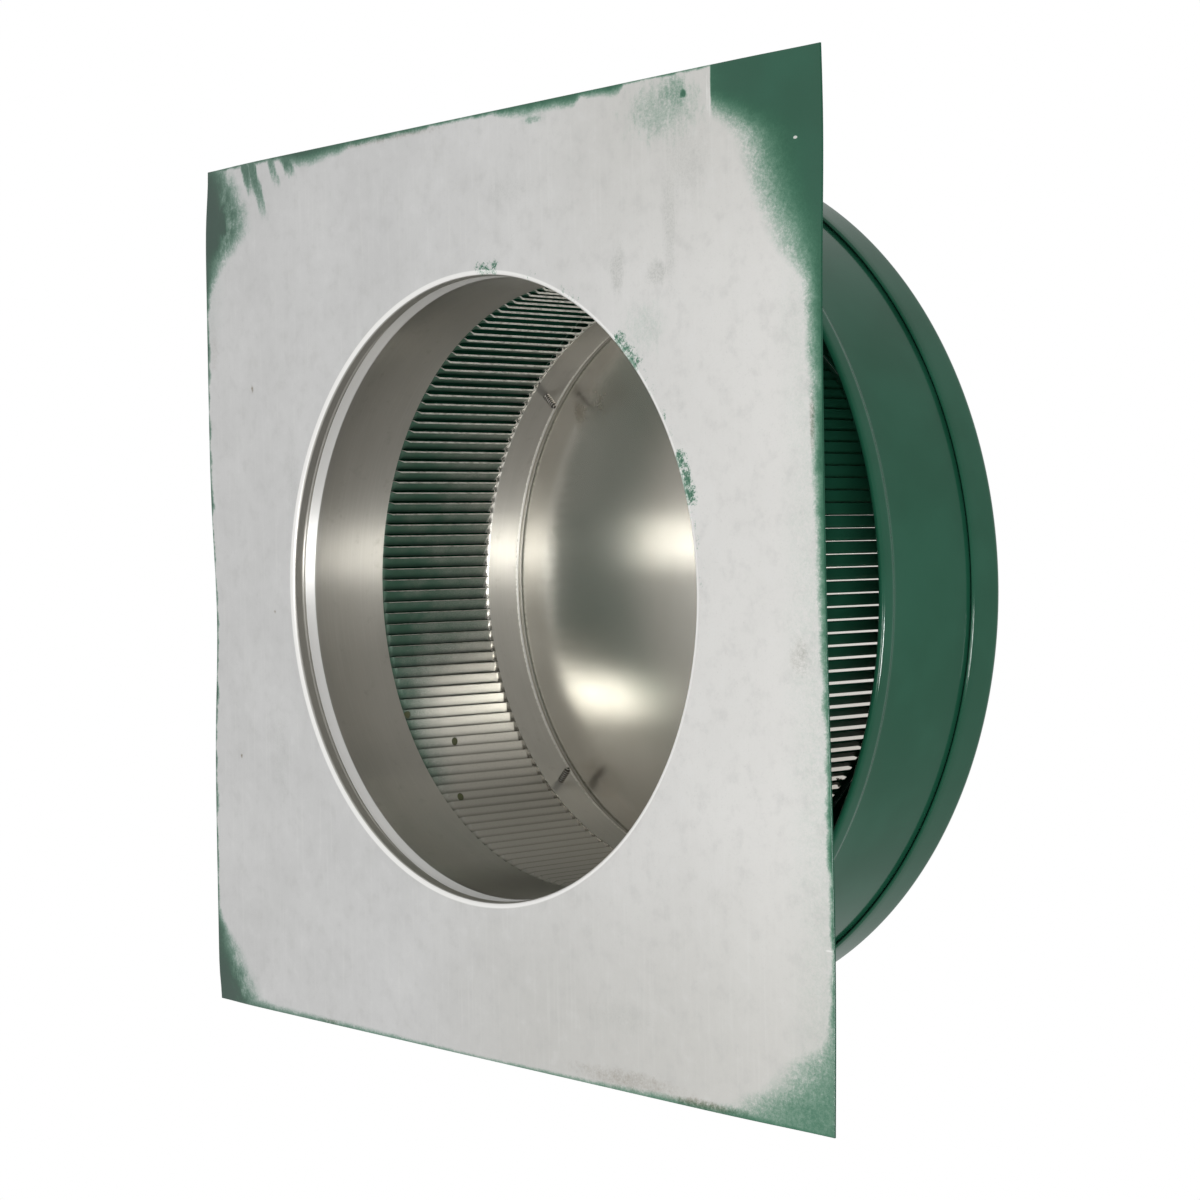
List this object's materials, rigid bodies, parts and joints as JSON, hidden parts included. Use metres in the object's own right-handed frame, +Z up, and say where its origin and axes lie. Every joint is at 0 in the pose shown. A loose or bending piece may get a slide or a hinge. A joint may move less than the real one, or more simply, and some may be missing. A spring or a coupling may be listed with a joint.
{
  "type": "static roof vent",
  "caption": "Round static roof vent: a domed cap with a hanging wind band over a louvered drum, on a square flat roof flange with an open throat.",
  "frame": {"origin": "centre of the throat in the plane of the flange's underside, which is the lowest plane of the part", "axes": "+Z up the throat's axis towards the cap, +X and +Y square to the flange's sides"},
  "size_m": [0.4572, 0.4572, 0.165],
  "materials": {
    "flange_sheet": "satin",
    "drum_sheet": "satin",
    "ring_sheet": "satin",
    "green_coat": "gloss",
    "screw_steel": "satin"
  },
  "bodies": {
    "root": {"base_flange": "flange_sheet", "louver_drum": "drum_sheet", "cap_mounting_ring": "ring_sheet", "cap_dome": "green_coat", "wind_band": "green_coat", "cap_screw_1": "screw_steel", "cap_screw_2": "screw_steel", "cap_screw_3": "screw_steel", "cap_screw_4": "screw_steel"}
  },
  "joints": []
}
